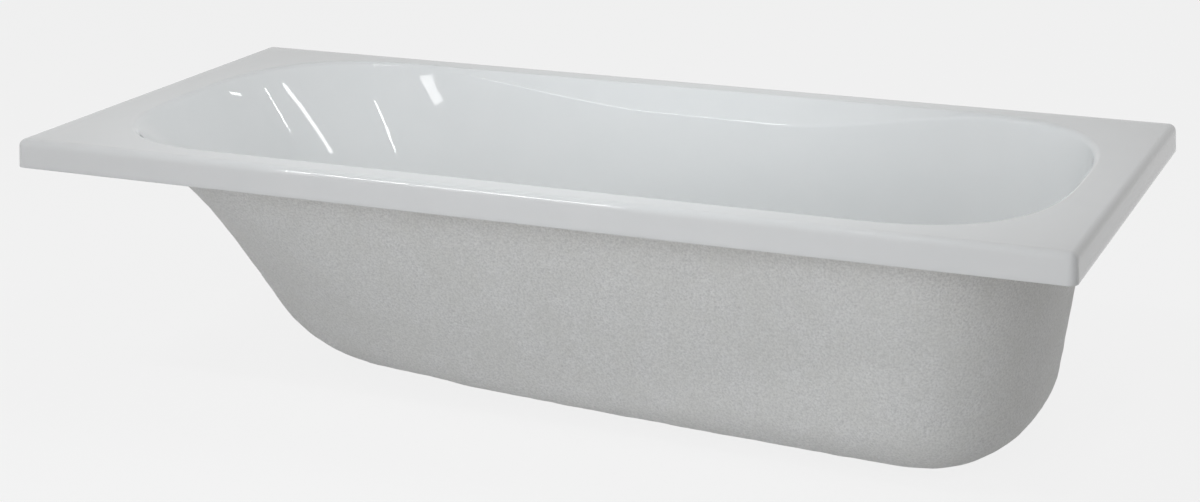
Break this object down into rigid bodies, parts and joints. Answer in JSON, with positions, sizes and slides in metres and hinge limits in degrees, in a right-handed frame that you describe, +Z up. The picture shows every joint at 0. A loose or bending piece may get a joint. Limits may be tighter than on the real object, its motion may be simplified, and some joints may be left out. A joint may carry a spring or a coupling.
{
  "type": "built-in bathtub",
  "caption": "Rectangular built-in bathtub with a turned-down rim, sloping back, moulded armrests and a push-button pop-up waste in the floor.",
  "frame": {"origin": "on the ground, under the middle of the rim", "axes": "+X along the bath from the sloping back to the waste end, +Y to the far side, +Z up"},
  "size_m": [1.5, 0.7, 0.3831],
  "materials": {
    "acrylic": "gloss",
    "fibreglass": "rough",
    "timber": "sawn",
    "chipboard": "matte",
    "resin": "rough",
    "laminate": "rough",
    "chromed_brass": "polished",
    "brass": "satin",
    "seal_rubber": "matte",
    "acetal": "satin",
    "spring_steel": "satin"
  },
  "bodies": {
    "tub": {"acrylic_shell": "acrylic", "fibreglass_backing": "fibreglass", "front_rim_rail": "timber", "rear_rim_rail": "timber", "head_rim_rail": "timber", "foot_rim_rail": "timber", "base_board": "chipboard", "base_bedding": "resin", "base_laminate": "laminate", "waste_body": "chromed_brass", "waste_top_seal": "seal_rubber", "waste_bottom_seal": "seal_rubber", "waste_slip_washer": "acetal", "waste_back_nut": "brass", "cartridge_barrel": "acetal", "cartridge_end_cap": "acetal", "return_spring": "spring_steel"},
    "plug": {"plug_cap": "chromed_brass", "plug_seal": "seal_rubber", "plug_stem": "brass"},
    "cam": {"index_cam": "acetal"}
  },
  "joints": [
    {"name": "plug_lift", "type": "slide", "parent": "tub", "child": "plug", "axis": [0, 0, 1], "range_m": [0, 0.008], "deforming": ["return_spring"]},
    {"name": "index_cam_turn", "type": "hinge", "parent": "plug", "child": "cam", "pos_m": [0.43, 0, 0.00905], "axis": [0, 0, 1], "range_deg": [0, 45]}
  ],
  "couplings": [
    {"joint": "index_cam_turn", "follows": "plug_lift", "rad_per_m": 98.17}
  ]
}
